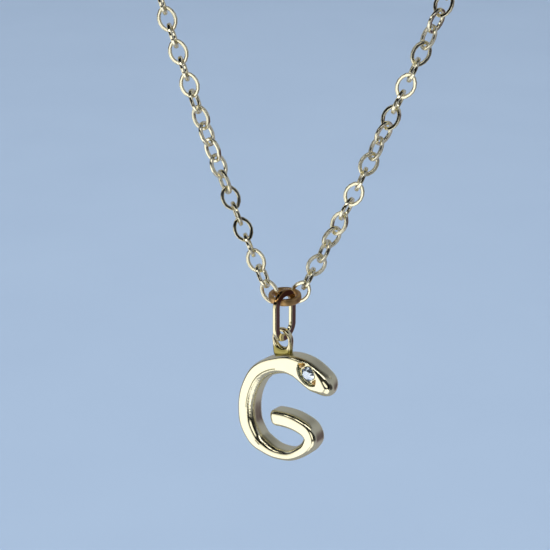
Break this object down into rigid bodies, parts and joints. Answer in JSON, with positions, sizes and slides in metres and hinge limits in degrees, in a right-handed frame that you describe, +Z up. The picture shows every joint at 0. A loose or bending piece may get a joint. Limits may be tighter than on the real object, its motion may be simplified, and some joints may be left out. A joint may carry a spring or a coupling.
{
  "type": "initial pendant necklace",
  "caption": "Letter-shaped pendant with a small set stone, hung by an oval link and a jump ring from a flat cable chain with a plain clasp.",
  "frame": {"origin": "middle of the clasp, where the necklace lies on the nape of the neck", "axes": "+Z up, +X to the right as seen from the front, -Y the front, towards the viewer"},
  "size_m": [0.1016, 0.1055, 0.1441],
  "materials": {
    "gold": "polished, gold plated",
    "stone": "faceted, clear"
  },
  "bodies": {
    "necklace": {"chain_left": "gold", "chain_right": "gold", "jump_ring": "gold", "clasp": "gold"},
    "bail": {"bail": "gold"},
    "letter": {"letter": "gold", "stone": "stone"}
  },
  "joints": [
    {"name": "bail_swing", "type": "hinge", "parent": "necklace", "child": "bail", "pos_m": [0.0005, -0.1004, -0.11341], "axis": [0.9703, 0.2419, 0], "range_deg": [-60, 15]},
    {"name": "letter_rock", "type": "hinge", "parent": "bail", "child": "letter", "pos_m": [0.0005, -0.1004, -0.11767], "axis": [-0.3859, -0.9225, 0], "range_deg": [-45, 45]}
  ]
}
